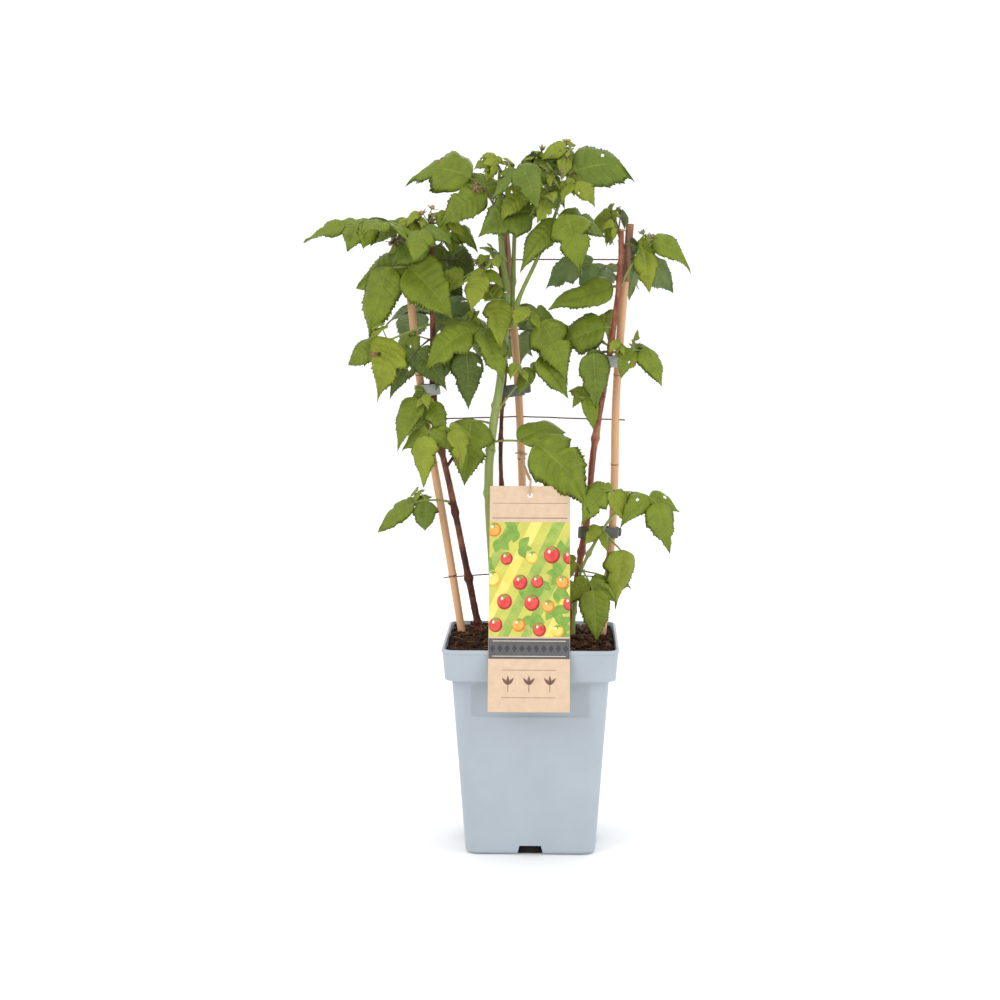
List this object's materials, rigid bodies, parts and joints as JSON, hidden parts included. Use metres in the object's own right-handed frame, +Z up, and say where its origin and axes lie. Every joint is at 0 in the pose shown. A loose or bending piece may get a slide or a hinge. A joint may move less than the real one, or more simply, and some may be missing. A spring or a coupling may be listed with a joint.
{
  "type": "potted raspberry cane",
  "caption": "Young raspberry plant with toothed green leaves, its canes tied to a bamboo and wire trellis in a square pale grey nursery pot, with a card label leaning on the rim.",
  "frame": {"origin": "centre of the pot's flat underside", "axes": "+Z up along the canes, -Y to the front where the label leans, +X to the right seen from the front"},
  "size_m": [0.3804, 0.2683, 0.6944],
  "materials": {
    "pot": "satin moulded polypropylene, pale blue-grey",
    "compost": "dark, damp, crumbly peat with fibres",
    "bamboo": "smooth tan bamboo with raised nodes",
    "wire": "thin dull brown wire",
    "bark": "thin reddish-brown bark with knobby nodes",
    "green_stem": "smooth green young cane",
    "tie": "grey-green plastic band, slightly translucent",
    "card": "kraft card with a plain printed pattern",
    "leaf": "soft matt leaf, darker above, grey-green below"
  },
  "bodies": {
    "root": {"pot": "pot", "compost": "compost", "bamboo_left": "bamboo", "bamboo_middle": "bamboo", "bamboo_right": "bamboo", "wire_low": "wire", "wire_middle": "wire", "wire_top": "wire", "cane_left": "bark", "cane_green": "green_stem", "cane_back": "bark", "cane_right": "bark", "green_shoot": "green_stem", "fork_left": "green_stem", "fork_right": "green_stem", "side_shoot": "green_stem", "tie_left": "tie", "tie_middle": "tie", "tie_right_low": "tie", "tie_right_high": "tie", "label": "card", "label_ring": "wire", "left_far": "leaf", "left_top": "leaf", "left_shade": "leaf", "left_mid_out": "leaf", "left_dark": "leaf", "left_low_out": "leaf", "centre_bright": "leaf", "left_behind": "leaf", "left_down": "leaf", "left_foot": "leaf", "left_lowest": "leaf", "crown_left": "leaf", "crown_dark": "leaf", "crown_small": "leaf", "crown_trio": "leaf", "crown_right": "leaf", "crown_peak": "leaf", "crown_middle": "leaf", "crown_inner": "leaf", "centre_big": "leaf", "centre_upper": "leaf", "centre_left_high": "leaf", "centre_buds": "leaf", "centre_round": "leaf", "centre_low": "leaf", "right_inner": "leaf", "right_mid_in": "leaf", "right_mid_left": "leaf", "right_reach": "leaf", "right_top": "leaf", "right_far": "leaf", "right_mid": "leaf", "shoot_top": "leaf", "shoot_low": "leaf", "foot_right": "leaf", "back_left": "leaf", "back_centre": "leaf", "back_right": "leaf"}
  },
  "joints": []
}
